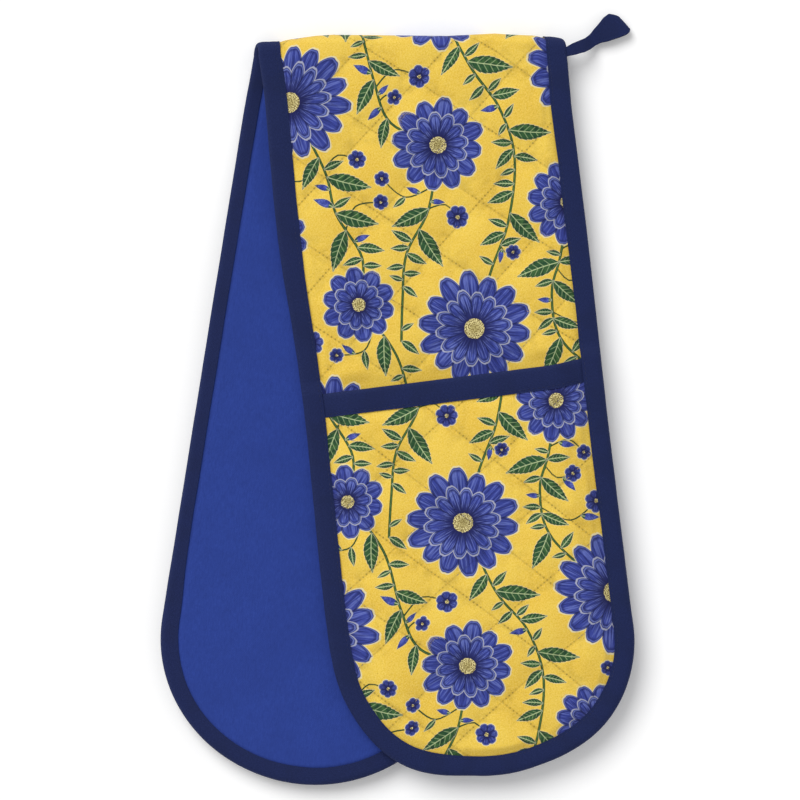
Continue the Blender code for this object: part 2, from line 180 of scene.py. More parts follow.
def inset_of(a, s):
    """How far a place lies inside the edge."""
    beyond = np.maximum(s - TIP_CENTRE, 0)
    reach = np.hypot(a, beyond * HALF_WIDTH / TIP_DEPTH)
    return HALF_WIDTH - np.where(beyond > 0, reach, np.abs(a))


# Heights of the layers

def seam_lines(a, s, turn):
    """For both families of stitch lines: the place across them and along them."""
    found = []
    for sign in (-1, 1):
        slope = sign * QUILT_ANGLE + turn
        found.append((a * sin(slope) - (s - QUILT_START) * cos(slope),
                      a * cos(slope) + (s - QUILT_START) * sin(slope)))
    return found


def nearest(across):
    return np.abs((across / PITCH + 0.5) % 1 - 0.5) * PITCH


def pillow(a, s, turn):
    """Relief of the quilting, 0 at the stitches and 1 in the middle of a diamond."""
    total = 1
    for across, _ in seam_lines(a, s, turn):
        total = total * (1 - (1 - nearest(across) / (PITCH / 2)) ** 2.6)
    return total


def add_object(name, data):
    found = bpy.data.objects.new(name, data)
    bpy.context.scene.collection.objects.link(found)
    return found


PATCH_STEP, PATCH_WIDE, PATCH_LONG = 1.8, 228.6, 280.8
PATCH_FRAMES = 10
PATCH_CLOTH = {"quality": 4, "mass": 0.15, "tension_stiffness": 8, "compression_stiffness": 8,
               "shear_stiffness": 3, "bending_stiffness": 1.2, "air_damping": 2,
               "vertex_group_mass": "sewn", "use_pressure": True, "uniform_pressure_force": 35,
               "shrink_min": -0.013, "shrink_max": -0.013}


def quads(index):
    """Faces between the neighbouring rows and columns of grids of points."""
    found = beside(index[..., :-1, :-1], index[..., :-1, 1:], index[..., 1:, 1:], index[..., 1:, :-1])
    return found.reshape(-1, 4)


def simulated_patch():
    """Heights of a patch of slack cloth, held down along its stitch lines and pushed up between them."""
    columns, rows = round(PATCH_WIDE / PATCH_STEP) + 1, round(PATCH_LONG / PATCH_STEP) + 1
    a, s = np.meshgrid((np.arange(columns) - (columns - 1) / 2) * PATCH_STEP, np.arange(rows) * PATCH_STEP)
    start = beside(a, s, np.random.default_rng(5).uniform(0, 0.12, a.shape)).reshape(-1, 3)
    mesh = bpy.data.meshes.new("patch")
    mesh.from_pydata((start * MM).tolist(), [], quads(np.arange(a.size).reshape(a.shape)).tolist())
    patch = add_object("patch", mesh)
    gaps = [nearest(across) for across, _ in seam_lines(a, s + QUILT_START, 0)]
    sewn = np.minimum(*gaps) < 0.68 * PATCH_STEP
    sewn[[0, -1]] = sewn[:, [0, -1]] = True
    patch.vertex_groups.new(name="sewn").add(np.flatnonzero(sewn).tolist(), 1, "REPLACE")
    cloth = patch.modifiers.new("cloth", "CLOTH")
    for key, value in PATCH_CLOTH.items():
        setattr(cloth.settings, key, value)
    cloth.settings.effector_weights.gravity = 0
    cloth.collision_settings.use_collision = False
    cloth.point_cache.frame_start, cloth.point_cache.frame_end = 1, PATCH_FRAMES
    for number in range(1, PATCH_FRAMES + 1):
        bpy.context.scene.frame_set(number)
    made = patch.evaluated_get(bpy.context.evaluated_depsgraph_get()).to_mesh()
    found = np.empty(start.size, np.float32)
    made.vertices.foreach_get("co", found)
    bpy.data.objects.remove(patch)
    bpy.data.meshes.remove(mesh)
    bpy.context.scene.frame_set(1)
    heights = found.reshape(rows, columns, 3)[..., 2]
    return heights / np.percentile(heights, 97)


PATCH = simulated_patch()


def spline(t):
    """Weights of the four heights about a place, t of the way from the second to the third."""
    second, third = (3 * t ** 3 - 6 * t ** 2 + 4) / 6, (3 * t * (1 + t - t * t) + 1) / 6
    return (1 - t) ** 3 / 6, second, third, t ** 3 / 6


def quilt(a, s, turn, flip):
    """Relief of the quilting with its puckers, read smoothly from the simulated patch."""
    down = s - QUILT_START
    repeats = 3 if turn == 0 else -1
    u = flip * (a * cos(turn) + down * sin(turn)) / PATCH_STEP + (PATCH.shape[1] - 1) / 2
    v = (down * cos(turn) - a * sin(turn) + repeats * PITCH / cos(QUILT_ANGLE)) / PATCH_STEP
    i, j = np.floor(u).astype(int), np.floor(v).astype(int)
    total = 0
    for m, weight_u in enumerate(spline(u - i)):
        for n, weight_v in enumerate(spline(v - j)):
            row = np.clip(j + n - 1, 0, PATCH.shape[0] - 1)
            column = np.clip(i + m - 1, 0, PATCH.shape[1] - 1)
            total = total + PATCH[row, column] * weight_u * weight_v
    return total


def border(a, s):
    """0 under the edge binding and 1 inside it."""
    return smooth((inset_of(a, s) - LEG + 0.6) / LEG_RAMP)


def slack(a, s, seed):
    return 0.22 * noise(a, s, 46, seed) + 0.10 * noise(a, s, 17, seed + 1)


def relief(a, s, turn, seed, fine):
    return quilt(a, s, turn, 1 if seed < 200 else -1) if fine else pillow(a, s, turn)


def cover_top(a, s, seed, fine=True):
    """Height of the printed strip; where it isn't fine, without the puckers."""
    inside = border(a, s)
    quilted = smooth((MOUTH - 3 - s) / 9) * smooth((s - hinge(a) + 9) / 22)
    raised = 2.3 * relief(a, s, 0, seed, fine) + 0.5 * slack(a, s, seed)
    return COVER_EDGE + 0.80 * inside + inside * quilted * raised


def bow(a, s):
    sideways = smooth((inset_of(a, s) - LEG - 1) / 17)
    end = MOUTH + 145
    return 5.2 * sideways * (1 - smooth((s - end) / (HALF_LENGTH - LEG - 5.5 - end)))


def pocket_under(a, s):
    return 4.65 + 0.90 * border(a, s) + bow(a, s)


def pocket_top(a, s, seed, fine=True):
    full = border(a, s) * smooth((s - MOUTH - 13.6) / 6.5)
    tucked = 0.3 * (1 - smooth((s - MOUTH - 2) / 8))
    raised = 0.8 + 1.8 * relief(a, s, POCKET_TURN, seed, fine) + 0.6 * slack(a, s, seed)
    return pocket_under(a, s) + 2.1 - tucked + full * raised


def wider(s):
    """How much wider the tape lies on the lining's side round the end."""
    return 1.9 * smooth((s - 312) / 38)


def lining_low(a, s, seed):
    """Lining: level with the tape's back leg inside it and tucked under it at the edge."""
    inside = smooth((inset_of(a, s) - BACK_LEG - wider(s) + 0.3) / 2.6)
    ripple = 0.30 * (0.5 + 0.5 * noise(a, s, 34, seed)) + 0.05 * (1 + noise(a, s, 9, seed + 1))
    return 1.05 - 0.90 * inside + ripple * smooth((inset_of(a, s) - LEG) / 14)


# Meshes

def volume_of(points, faces):
    """Six times the volume inside the faces; it is negative where they are inside out."""
    return sum(np.sum(points[face[:, 0]] * np.cross(points[face[:, k]], points[face[:, k + 1]]))
               for face in faces for k in range(1, face.shape[1] - 1))


def make(name, points, faces, material, layers=None):
    """A smooth closed mesh from world points; faces is a list of index arrays, one row for a face."""
    points = points.reshape(-1, 3)
    if volume_of(points - points.mean(axis=0), faces) < 0:
        faces = [face[:, ::-1] for face in faces]
    mesh = bpy.data.meshes.new(name)
    counts = np.concatenate([np.full(len(face), face.shape[1]) for face in faces])
    corners = np.concatenate([face.ravel() for face in faces])
    mesh.vertices.add(len(points))
    mesh.vertices.foreach_set("co", np.asarray(points, np.float32).ravel())
    mesh.loops.add(len(corners))
    mesh.loops.foreach_set("vertex_index", corners.astype(np.int32))
    mesh.polygons.add(len(counts))
    mesh.polygons.foreach_set("loop_start", (np.cumsum(counts) - counts).astype(np.int32))
    mesh.update(calc_edges=True)
    mesh.polygons.foreach_set("use_smooth", np.ones(len(counts), bool))
    for key, values in (layers or {}).items():
        layer = mesh.attributes.new(key, "FLOAT_VECTOR", "POINT")
        layer.data.foreach_set("vector", np.asarray(values, np.float32).ravel())
    mesh.set_sharp_from_angle(angle=radians(58))
    mesh.materials.append(material)
    return add_object(name, mesh)


def every(count, step):
    """Places from the first to the last of count, about step apart."""
    return np.unique(np.linspace(0, count - 1, max(2, round((count - 1) / step) + 1)).round().astype(int))


def sheet_faces(rows, columns, keep_r, keep_c):
    """Faces of a closed sheet: a fine grid, an opposite one of fewer points, and the rim between."""
    fine = np.arange(rows * columns).reshape(rows, columns)
    coarse = rows * columns + np.arange(len(keep_r) * len(keep_c)).reshape(len(keep_r), len(keep_c))
    faces = [quads(fine), quads(coarse.T)]
    sides = ((fine[0], coarse[0], keep_c, True), (fine[-1], coarse[-1], keep_c, False),
             (fine[:, 0], coarse[:, 0], keep_r, False), (fine[:, -1], coarse[:, -1], keep_r, True))
    for line, low, keep, turned in sides:
        for n in range(len(keep) - 1):
            polygon = list(line[keep[n]:keep[n + 1] + 1]) + [low[n + 1], low[n]]
            faces.append(np.array([polygon[::-1] if turned else polygon]))
    return faces


def closed_sheet(half, name, solid, slot, grid, seen, hidden, step, layers=None):
    """A layer in place of a solid: seen and hidden are the heights of its sides over a grid of places."""
    a, s = grid
    keep_r, keep_c = every(a.shape[0], step), every(a.shape[1], step)
    few = np.ix_(keep_r, keep_c)
    points = np.concatenate([place(half, a, s, seen).reshape(-1, 3),
                             place(half, a[few], s[few], hidden[few]).reshape(-1, 3)])
    layers = layers or {"Strip": beside(a, s, inset_of(a, s))}
    whole = {key: np.concatenate([values.reshape(-1, 3), values[few].reshape(-1, 3)])
             for key, values in layers.items()}
    piece = make(f"{half}_{name}", points, sheet_faces(*a.shape, keep_r, keep_c), MATERIALS[slot], whole)
    dress(piece, half, solid, slot)


def strip_grid(inset, across, spans):
    """A grid over the strip; spans are (from, to, step) along it, from the fold's middle on."""
    rows = [np.linspace(start, end, max(2, round((end - start) / step) + 1))[:-1]
            for start, end, step in spans]
    flat = np.concatenate(rows)
    turns = np.linspace(0, radians(87), max(14, round(118 / spans[-1][2])))
    r = np.concatenate([flat, TIP_CENTRE + (TIP_DEPTH - inset) * np.sin(turns)])
    width = (HALF_WIDTH - inset) * np.concatenate([np.ones(len(flat)), np.cos(turns)])
    shares = np.linspace(-1, 1, round(2 * (HALF_WIDTH - inset) / across) + 1)
    a = width[:, None] * shares[None, :]
    return a, lean(r[:, None], a)


# Printed pattern: a repeat of flowers, leaves and stems

TILE = np.array([178.0, 196.0])
FLOWERS = [(48, 40, 35, 14), (133, 92, 38, 16), (40, 128, 29, 12), (112, 170, 26, 12), (160, 18, 23, 10)]
STEMS = [[(48, 40), (62, 84), (78, 110), (84, 140), (76, 176), (62, 204), (48, 236)],
         [(133, 92), (150, 134), (154, 160), (166, 188), (160, 214)],
         [(160, 18), (178, 50), (184, 86), (192, 112), (218, 128)],
         [(112, 170), (104, 200), (96, 222), (100, 252), (133, 288)],
         [(40, 128), (30, 164), (14, 188), (8, 214), (4, 238)]]
MOST_FLOWERS, MOST_LEAVES = 17, 110
FAR = -50.0


def wrapped(values):
    return (values + TILE / 2) % TILE - TILE / 2


def far(values):
    values = wrapped(values)
    return np.hypot(values[..., 0], values[..., 1])


def stem_points(knots, gap=4):
    """Points about gap apart on a smooth curve through the knots."""
    knots = np.array([knots[0]] + list(knots) + [knots[-1]], float)
    points = []
    for p0, p1, p2, p3 in zip(knots, knots[1:], knots[2:], knots[3:]):
        count = max(2, round(np.hypot(*(p2 - p1)) / gap))
        for t in np.arange(count) / count:
            points.append(0.5 * (2 * p1 + (p2 - p0) * t + (2 * p0 - 5 * p1 + 4 * p2 - p3) * t ** 2
                                 + (3 * p1 - p0 - 3 * p2 + p3) * t ** 3))
    return np.array(points + [knots[-2]])


def clear_of(spot, others, room):
    """Whether a round thing of this room touches none of the others, each (x, y, radius, ...)."""
    table = np.array([other[:3] for other in others])
    return bool(np.all(far(spot - table[:, :2]) > table[:, 2] + room))


def course(ahead):
    return atan2(ahead[1], ahead[0])


def layout():
    """Flowers (x, y, radius, petals), leaves (x, y, heading, length, bend, kind), stems (points, half)."""
    rng = np.random.default_rng(6)
    stems = [(stem_points(knots), 0.75) for knots in STEMS]
    main = np.concatenate([points for points, _ in stems])
    flowers, leaves, drawn = list(FLOWERS), [], []

    def try_leaf(base, heading, length, room, kind=0):
        """Adds a leaf, or a bud where kind is 1, if it is clear of all that is there."""
        bend = 0.10 * rng.choice((-1, 1))
        leaf = (*base, heading, length, bend, kind)
        shares = np.linspace(0.12, 1, 9)
        half = 0.19 * np.sin(pi * shares ** 0.82)
        outline = np.concatenate([leaf_points(leaf, shares, side * half) for side in (-1, 1)])
        clear = all(leaf_place(outline, other)[2].max() < -room for other in leaves)
        clear = clear and all(leaf_place(points, leaf)[2].max() < -room for points in drawn)
        if clear and all(clear_of(leaf_points(leaf, share, 0), flowers, space)
                         for share, space in ((0.6, 0.12 * length), (1, 1))):
            drawn.append(outline)
            leaves.append(leaf)

    for points, _ in stems:
        side = 1
        for n in range(3, len(points) - 3, 3):
            if clear_of(points[n], flowers, -1):
                turn = course(points[n + 1] - points[n - 1]) + side * radians(rng.uniform(40, 62))
                try_leaf(points[n], turn, rng.uniform(15, 27), 1.4)
                side = -side
    for _ in range(1600):
        spot, size = rng.uniform((0, 0), TILE), rng.uniform(4.5, 7.5)
        gaps = far(main - spot)
        if len(flowers) < MOST_FLOWERS and size + 3 < gaps.min() < 38 and clear_of(spot, flowers, size + 3) \
                and all(far(points - spot).min() > size + 3 for points in drawn):
            away = wrapped(main[np.argmin(gaps)] - spot)
            side = np.array([-away[1], away[0]]) * rng.choice((-0.28, 0.28))
            points = stem_points([spot, spot + away / 2 + side, spot + away], 3)
            stems.append((points, 0.45))
            flowers.append((*spot, size, float(rng.integers(5, 8))))
            for share, turn, kind in ((0.35, 0.75, 1), (0.5, -0.75, 0), (0.7, 0.75, 1)):
                n = min(int(len(points) * share), len(points) - 2)
                try_leaf(points[n], course(points[n] - points[n + 1]) + turn, rng.uniform(8, 12), 1.2, kind)
    for count in range(1500):
        spot = rng.uniform((0, 0), TILE)
        gaps = far(main - spot)
        if gaps.min() < 16 and len(leaves) < MOST_LEAVES and clear_of(spot, FLOWERS, -2):
            end = main[np.argmin(gaps)]
            turn = course(wrapped(spot - end)) + rng.uniform(-0.3, 0.3)
            try_leaf(end, turn, rng.uniform(8, 14), 1.4, float(count % 4 == 0))
    return flowers, leaves, stems


def leaf_points(leaf, shares, aside):
    """Points of a leaf: shares of its length along it and aside, also in lengths."""
    x, y, heading, length, bend, _ = leaf
    ahead, aside = shares * length, (aside + bend * shares ** 2) * length
    return beside(x + ahead * cos(heading) - aside * sin(heading),
                  y + ahead * sin(heading) + aside * cos(heading))


def leaf_place(spot, leaf):
    """Places along and beside a leaf's midrib, and how far inside its edge they are."""
    x, y, heading, length, bend, _ = leaf
    away = wrapped(spot - (x, y))
    ahead = away[:, 0] * cos(heading) + away[:, 1] * sin(heading)
    aside = away[:, 1] * cos(heading) - away[:, 0] * sin(heading)
    share = np.clip(ahead / length, 0, 1)
    aside = aside - bend * share ** 2 * length
    inside = 0.185 * length * np.sin(pi * share ** 0.82) - np.abs(aside)
    return ahead, aside, np.minimum(inside, np.minimum(ahead, length - ahead) + 0.1)


def keep_best(table, inside, *values):
    """Puts a motif's values in the rows of the points that lie further inside it than inside others."""
    best = inside > table[:, 0]
    table[best] = beside(inside, *values)[best]


def print_layers(x, t, shift):
    """Per point of the cloth: its place in its nearest flower, leaf and stem."""
    flowers, leaves, stems = PRINT
    spot = beside(x + shift[0], t + shift[1]).reshape(-1, 2)
    flower, leaf = np.zeros((len(spot), 6)), np.zeros((len(spot), 5))
    flower[:, 0] = leaf[:, 0] = FAR
    second = reach = np.full(len(spot), FAR)
    for number, (fx, fy, size, petals) in enumerate(flowers):
        away = wrapped(spot - (fx, fy))
        inside = size - np.hypot(away[:, 0], away[:, 1])
        second = np.maximum(second, np.minimum(inside, flower[:, 0]))
        keep_best(flower, inside, away[:, 0], away[:, 1], size, petals, number * 7)
    # Halfway between two flowers the mesh would blend their numbers into a stray line
    halfway = (flower[:, 0] < -0.65) & (flower[:, 0] - second < 2.2)
    flower[halfway, 0] = -6
    for number, one in enumerate(leaves):
        ahead, aside, inside = leaf_place(spot, one)
        keep_best(leaf, inside, ahead, aside, one[3], (number * 1.7 + 1) * (1 - 2 * one[5]))
    for points, half in stems:
        for start, end in zip(points, points[1:]):
            run = end - start
            away = wrapped(spot - (start + end) / 2) + run / 2
            share = np.clip(away @ run / (run @ run), 0, 1)
            gap = away - share[:, None] * run
            reach = np.maximum(reach, half - np.hypot(gap[:, 0], gap[:, 1]))
    layers = {"Flower": flower[:, 1:4], "Kind": flower[:, [0, 4, 5]], "Leaf": leaf[:, 1:4],
              "More": beside(leaf[:, 0], reach, leaf[:, 4])}
    return {key: values.reshape(x.shape + (3,)) for key, values in layers.items()}


PRINT = layout()


def printed_place(a, s, half):
    """Place on the one length of printed cloth, which runs on round the fold."""
    return (a, s) if half == "front" else (-a, -2 * QUARTER - s)


def cloth_layers(a, s, turn, half, shift):
    """What the printed cotton's material reads."""
    x, t = printed_place(a, s, half)
    (across_1, along_1), (across_2, along_2) = seam_lines(a, s, turn)
    return {"Strip": beside(x, t, inset_of(a, s)),
            "Quilt": beside(across_1, across_2, along_1),
            "Along": beside(along_2, 0, 0), **print_layers(x, t, shift)}


# Materials

def linear(colour):
    """sRGB levels as a colour socket takes them; a colour that nodes have painted stays as it is."""
    if not isinstance(colour, tuple):
        return colour
    return tuple((v / 255 / 12.92 if v / 255 <= 0.04045 else ((v / 255 + 0.055) / 1.055) ** 2.4)
                 for v in colour) + (1,)


def connect(tree, node, inputs):
    """Gives each input, by its name or number, a value or a link from a socket."""
    for key, value in dict(inputs).items():
        value = getattr(value, "socket", value)
        if isinstance(value, bpy.types.NodeSocket):
            tree.links.new(value, node.inputs[key])
        else:
            node.inputs[key].default_value = value


def add_node(tree, kind, inputs=(), **settings):
    """A new node's outputs."""
    node = tree.nodes.new("ShaderNode" + kind)
    for key, value in settings.items():
        setattr(node, key, value)
    connect(tree, node, inputs)
    return node.outputs


class Number:
    """A number in a material's nodes that arithmetic can be done with."""

    def __init__(self, tree, socket):
        self.tree, self.socket = tree, socket

    def math(self, operation, *others):
        found = add_node(self.tree, "Math", enumerate((self, *others)), operation=operation)
        return Number(self.tree, found[0])

    __add__ = __radd__ = partialmethod(math, "ADD")
    __sub__ = partialmethod(math, "SUBTRACT")
    __mul__ = __rmul__ = partialmethod(math, "MULTIPLY")
    __truediv__ = partialmethod(math, "DIVIDE")
    abs = partialmethod(math, "ABSOLUTE")

    def __rsub__(self, other):
        return self * -1 + other

    def __rtruediv__(self, other):
        return self.math("POWER", -1) * other

    def rise(self, low, high):
        """0 below low, 1 above high and smooth between."""
        found = add_node(self.tree, "MapRange", enumerate((self, low, high)), interpolation_type="SMOOTHSTEP")
        return Number(self.tree, found[0])

    def fall(self, low, high):
        return 1 - self.rise(low, high)


class Paint:
    """A material's nodes, with short ways to add to them."""

    def __init__(self, name, roughness, sheen=0, sheen_tint=None, specular=0.3):
        self.material = bpy.data.materials.new(name)
        self.material.use_nodes = True
        self.tree = self.material.node_tree
        self.shader = self.tree.nodes["Principled BSDF"]
        tint = {"Sheen Tint": linear(sheen_tint)} if sheen_tint else {}
        connect(self.tree, self.shader, {"Roughness": roughness, "Specular IOR Level": specular,
                                         "Sheen Weight": sheen, "Sheen Roughness": 0.5, **tint})

    def read(self, name):
        """The three numbers that the mesh holds under a name."""
        held = add_node(self.tree, "Attribute", attribute_name=name)["Vector"]
        return [Number(self.tree, output) for output in add_node(self.tree, "SeparateXYZ", {0: held})]

    def noise(self, x, y, scale=1, detail=2, roughness=0.5):
        place = add_node(self.tree, "CombineXYZ", {0: x, 1: y})[0]
        inputs = {"Vector": place, "Scale": scale, "Detail": detail, "Roughness": roughness}
        return Number(self.tree, add_node(self.tree, "TexNoise", inputs)[0])

    def random(self, value):
        found = add_node(self.tree, "TexWhiteNoise", {"W": value}, noise_dimensions="1D")
        return Number(self.tree, found["Value"])

    def coats(self, base, *layers):
        """A base colour with layers over it, each a share from 0 to 1 and a colour."""
        for share, colour in layers:
            inputs = {0: share, 6: linear(base), 7: linear(colour)}
            base = add_node(self.tree, "Mix", inputs, data_type="RGBA")[2]
        return base

    def shade(self, colour, amount):
        """The colour times an amount."""
        return add_node(self.tree, "VectorMath", {0: colour, "Scale": amount}, operation="SCALE")[0]

    def done(self, colour, height, depth, rough=None):
        """The material, once it has its colour and the relief of its surface, depth millimetres high."""
        bump = add_node(self.tree, "Bump", {"Strength": 1, "Distance": depth * MM, "Height": height})[0]
        connect(self.tree, self.shader, {"Base Color": colour, "Normal": bump})
        if rough is not None:
            connect(self.tree, self.shader, {"Roughness": rough})
        return self.material


def weave(x, y, pitch):
    """Height of a plain weave from about -1 to 1."""
    over = (x * (pi / pitch)).math("SINE") * (y * (pi / pitch)).math("SINE")
    threads = (x * (2 * pi / pitch)).math("COSINE") + (y * (2 * pi / pitch)).math("COSINE")
    return over * 0.6 + threads * 0.2


CREAM = (232, 224, 190)


def petal_ring(paint, colour, flower, share, turn, tones):
    """Paints one ring of round petals over a colour."""
    radius, angle, size, petals, seed, near = flower
    dark, mid, light, rim = tones
    spot = angle * petals + turn
    cell = spot.math("FLOOR").math("FLOORED_MODULO", petals)
    chance = paint.random(cell + seed + turn * 31)
    reach = size * ((chance * 0.10 + 0.90) * share)
    across = (spot.math("FRACT") - 0.5) / petals * (2 * pi)
    px = radius * across.math("COSINE") / reach
    py = radius * across.math("SINE")
    wide = size * share * (2.5 / petals).math("MINIMUM", 0.40)
    after = (px - 0.62) / 0.38
    q = after.math("MAXIMUM", (0.62 - px) / 0.80)
    w = py / wide
    notch = w.abs().fall(0, 0.35) * after.rise(0, 1) * 0.05
    edge = (1 - (q * q + w * w).math("SQRT") - notch) * wide
    grain = paint.noise(w * 6 + cell * 3.7, px * 1.8, 1, 3, 0.6)
    between = (spot.math("FRACT") - 0.5).abs() * 2
    gap = (1 - between) * radius * pi / petals
    tone = paint.coats(
        dark,
        (px.rise(0.30, 0.85), mid),
        (grain.rise(0.49, 0.64) * px.rise(0.25, 0.55) * 0.85, light),
        (grain.fall(0.34, 0.46) * 0.85, dark),
        (w.abs().fall(0.03, 0.10) * px.fall(0.65, 0.9) * 0.6, dark),
        (edge.fall(0.9, 1.7) * 0.75, dark),
        ((edge - 0.45).abs().fall(0.12, 0.26) * 0.7, light),
        (gap.fall(0.15, 0.5) * 0.9, (24, 30, 84)))
    return paint.coats(colour, (edge.rise(-0.58, -0.36) * near * 0.78, rim),
                       (edge.rise(-0.10, 0.12) * near, tone))


def printed_leaf(paint, colour):
    """Paints toothed almond leaves with a pale midrib and side veins over a colour, and small buds."""
    lx, ly, length = paint.read("Leaf")
    mask, _, seed = paint.read("More")
    along, off = lx / length, ly.abs() / length
    teeth = (along * 8 - off * 4).math("FRACT") * 0.022
    arch = (along.math("MAXIMUM", 0).math("MINIMUM", 1).math("POWER", 0.82) * pi).math("SINE")
    edge = (arch * 0.185 + teeth - 0.012) * length - ly.abs()
    near = mask.rise(-0.60, -0.40) * along.rise(-0.01, 0) * along.fall(1, 1.01)
    shade = paint.noise(lx + seed, ly, 0.35, 3).rise(0.35, 0.68)
    ribs = ((along * 7 - off * 6).math("FRACT") - 0.5).abs()
    bud = paint.coats((52, 64, 150), (shade, (96, 110, 196)), (ribs.fall(0.10, 0.25) * 0.4, (36, 44, 116)))
    leaf = paint.coats(
        (28, 62, 40),
        (shade, (66, 106, 56)),
        ((ly / length).rise(-0.02, 0.03) * 0.45, (34, 78, 50)),
        (ribs.fall(0.05, 0.12) * edge.rise(0.3, 1.2) * along.rise(0.08, 0.2) * 0.55, (172, 196, 140)),
        (ly.abs().fall(0.16, 0.36) * 0.85, (196, 212, 158)),
        (seed.fall(-0.2, 0.2) * along.rise(0.20, 0.26), bud),
        (edge.fall(0.15, 0.45) * 0.8, (22, 42, 46)))
    return paint.coats(colour, (edge.rise(-0.42, -0.24) * near * 0.6, CREAM),
                       (edge.rise(-0.10, 0.12) * near, leaf))


def printed_cotton():
    paint = Paint("printed_cotton", 0.86, sheen=0.12, specular=0.25)
    x, t, inset = paint.read("Strip")
    u, v, size = paint.read("Flower")
    mask, petals, seed = paint.read("Kind")
    _, stem, _ = paint.read("More")
    grain = paint.noise(x * 1.15, t, 1, 3, 0.7)
    colour = paint.coats(
        (243, 205, 74),
        (paint.noise(x, t, 0.035, 3).rise(0.35, 0.65), (237, 195, 62)),
        (paint.noise(x * 0.9, t * 0.12).rise(0.60, 0.75) * 0.25, (248, 216, 108)),
        (grain.rise(0.40, 0.60) * 0.36, (250, 222, 128)),
        (paint.noise(x, t, 1.3, 0).rise(0.71, 0.79) * 0.42, (180, 136, 50)),
        (stem.rise(-0.12, 0.12), paint.coats((38, 70, 40), (stem.rise(0.25, 0.6), (88, 122, 62)))))
    colour = printed_leaf(paint, colour)

    radius = (u * u + v * v).math("SQRT")
    angle = v.math("ARCTAN2", u) / (2 * pi) + 0.5
    near = mask.rise(-2, -1)
    flower = (radius, angle, size, petals, seed, near)
    tones = ((33, 40, 104), (55, 68, 154), (104, 118, 194), CREAM)
    colour = petal_ring(paint, colour, flower, 1, 0, tones)
    tones = ((28, 34, 94), (60, 74, 164), (118, 132, 204), (188, 190, 208))
    inner = petal_ring(paint, colour, flower, 0.66, 0.5, tones)
    heart_edge = size * 0.17 - radius + (paint.noise(x, t, 0.9, 1) - 0.5) * 1.2
    heart = paint.coats((122, 104, 60), (paint.noise(x, t, 1.5, 0).rise(0.44, 0.56), (238, 224, 158)),
                        ((radius / size).fall(0.05, 0.12) * 0.5, (150, 134, 70)))
    colour = paint.coats(
        colour,
        (size.rise(10, 14), inner),
        ((heart_edge + 1.3).rise(-0.2, 0.5) * near * 0.85, (26, 30, 84)),
        (heart_edge.rise(-0.12, 0.2) * near, heart))

    # Painted shade in the grooves of the stitch lines, in their needle holes and on the drawn cloth beside
    # them, a painted shadow beside the tape, and the weave
    across_1, across_2, along_1 = paint.read("Quilt")
    along_2, _, _ = paint.read("Along")
    lines = [((across / PITCH + 0.5).math("FRACT") - 0.5).abs() * PITCH for across in (across_1, across_2)]
    holes = [((along / STITCH).math("FRACT") - 0.5) * STITCH for along in (along_1, along_2)]
    needle_hole_shade = [(line * line + hole * hole).math("SQRT").fall(0.30, 0.80) for line, hole in zip(lines, holes)]
    close = lines[0].math("MINIMUM", lines[1])
    # seam: painted shade in the groove along each stitch line
    seam = close.fall(0, 1.6)
    # drawn: painted shade in noisy patches on the puckered cloth beside the stitch lines
    drawn = close.fall(0.5, 7.5) * paint.noise(x, t, 0.15).rise(0.42, 0.66)
    threads = weave(x, t, 0.55)
    fibre = paint.noise(x * 2.2, t * 1.7, 1, 3, 0.7)
    shade = (fibre - 0.5) * 0.20 + (grain - 0.5) * 0.32 + threads * 0.03 + 0.952
    # The inset factor is a painted shadow on the cloth beside the edge tape's inner edge
    shade = shade * (1 - seam * 0.08) * (1 - inset.fall(12.3, 14.5) * 0.14) * (1 - drawn * 0.15)
    # plain: how strong the painted shade in the needle holes is, less over the printed motifs
    plain = paint.noise(x, t, 0.08, 1).rise(0.36, 0.60) * 0.30 + 0.16
    plain = plain * (1 - mask.rise(-1, 1) * 0.7)
    shade = shade * (1 - needle_hole_shade[0].math("MAXIMUM", needle_hole_shade[1]) * plain)
    return paint.done(paint.shade(colour, shade), threads * 0.5 + fibre * 0.6, 0.10, fibre * 0.14 + 0.80)


def brushed_cotton():
    paint = Paint("brushed_cotton", 0.92, sheen=0.28, sheen_tint=(120, 140, 226), specular=0.2)
    x, t, inset = paint.read("Strip")
    streaks = paint.noise(x * 1.3, t * 0.22, 1, 4, 0.62)
    nap = paint.noise(x * 1.1, t * 0.8, 1, 4, 0.7)
    colour = paint.coats(
        (38, 59, 136),
        (streaks.rise(0.30, 0.70) * 0.7, (45, 68, 150)),
        (nap.rise(0.48, 0.74) * 0.40, (54, 78, 164)),
        (nap.fall(0.26, 0.44) * 0.45, (32, 50, 118)),
        (paint.noise(x, t, 0.022).rise(0.42, 0.66) * 0.35, (38, 58, 132)))
    mottled = (paint.noise(x * 0.45, t * 0.28) - 0.5) * 0.19 + 1
    mottled = mottled + (paint.noise(x, t * 0.7, 0.11) - 0.5) * 0.16
    # The inset factor is a painted shade on the lining beside the edge tape's back leg
    colour = paint.shade(colour, mottled * (1 - inset.fall(8.6, 11) * 0.18))
    return paint.done(colour, nap + streaks * 0.5 + weave(x, t, 0.6) * 0.2, 0.14)


def tape_material():
    paint = Paint("binding_tape", 0.86, sheen=0.05, sheen_tint=(110, 124, 190), specular=0.14)
    run, over, worn = paint.read("Tape")
    threads = weave(run, over, 0.62)
    slub = paint.noise(run * 0.9, over * 2.6, 1, 3, 0.6)
    colour = paint.coats(
        (25, 34, 73),
        (slub.rise(0.34, 0.70), (34, 44, 87)),
        (paint.noise(run, over, 0.05).rise(0.45, 0.65) * 0.35, (27, 35, 68)),
        (worn * slub.rise(0.40, 0.60) * 0.35, (52, 63, 108)))
    return paint.done(paint.shade(colour, threads * 0.05 + 1), threads * 0.8 + slub * 0.5, 0.10)


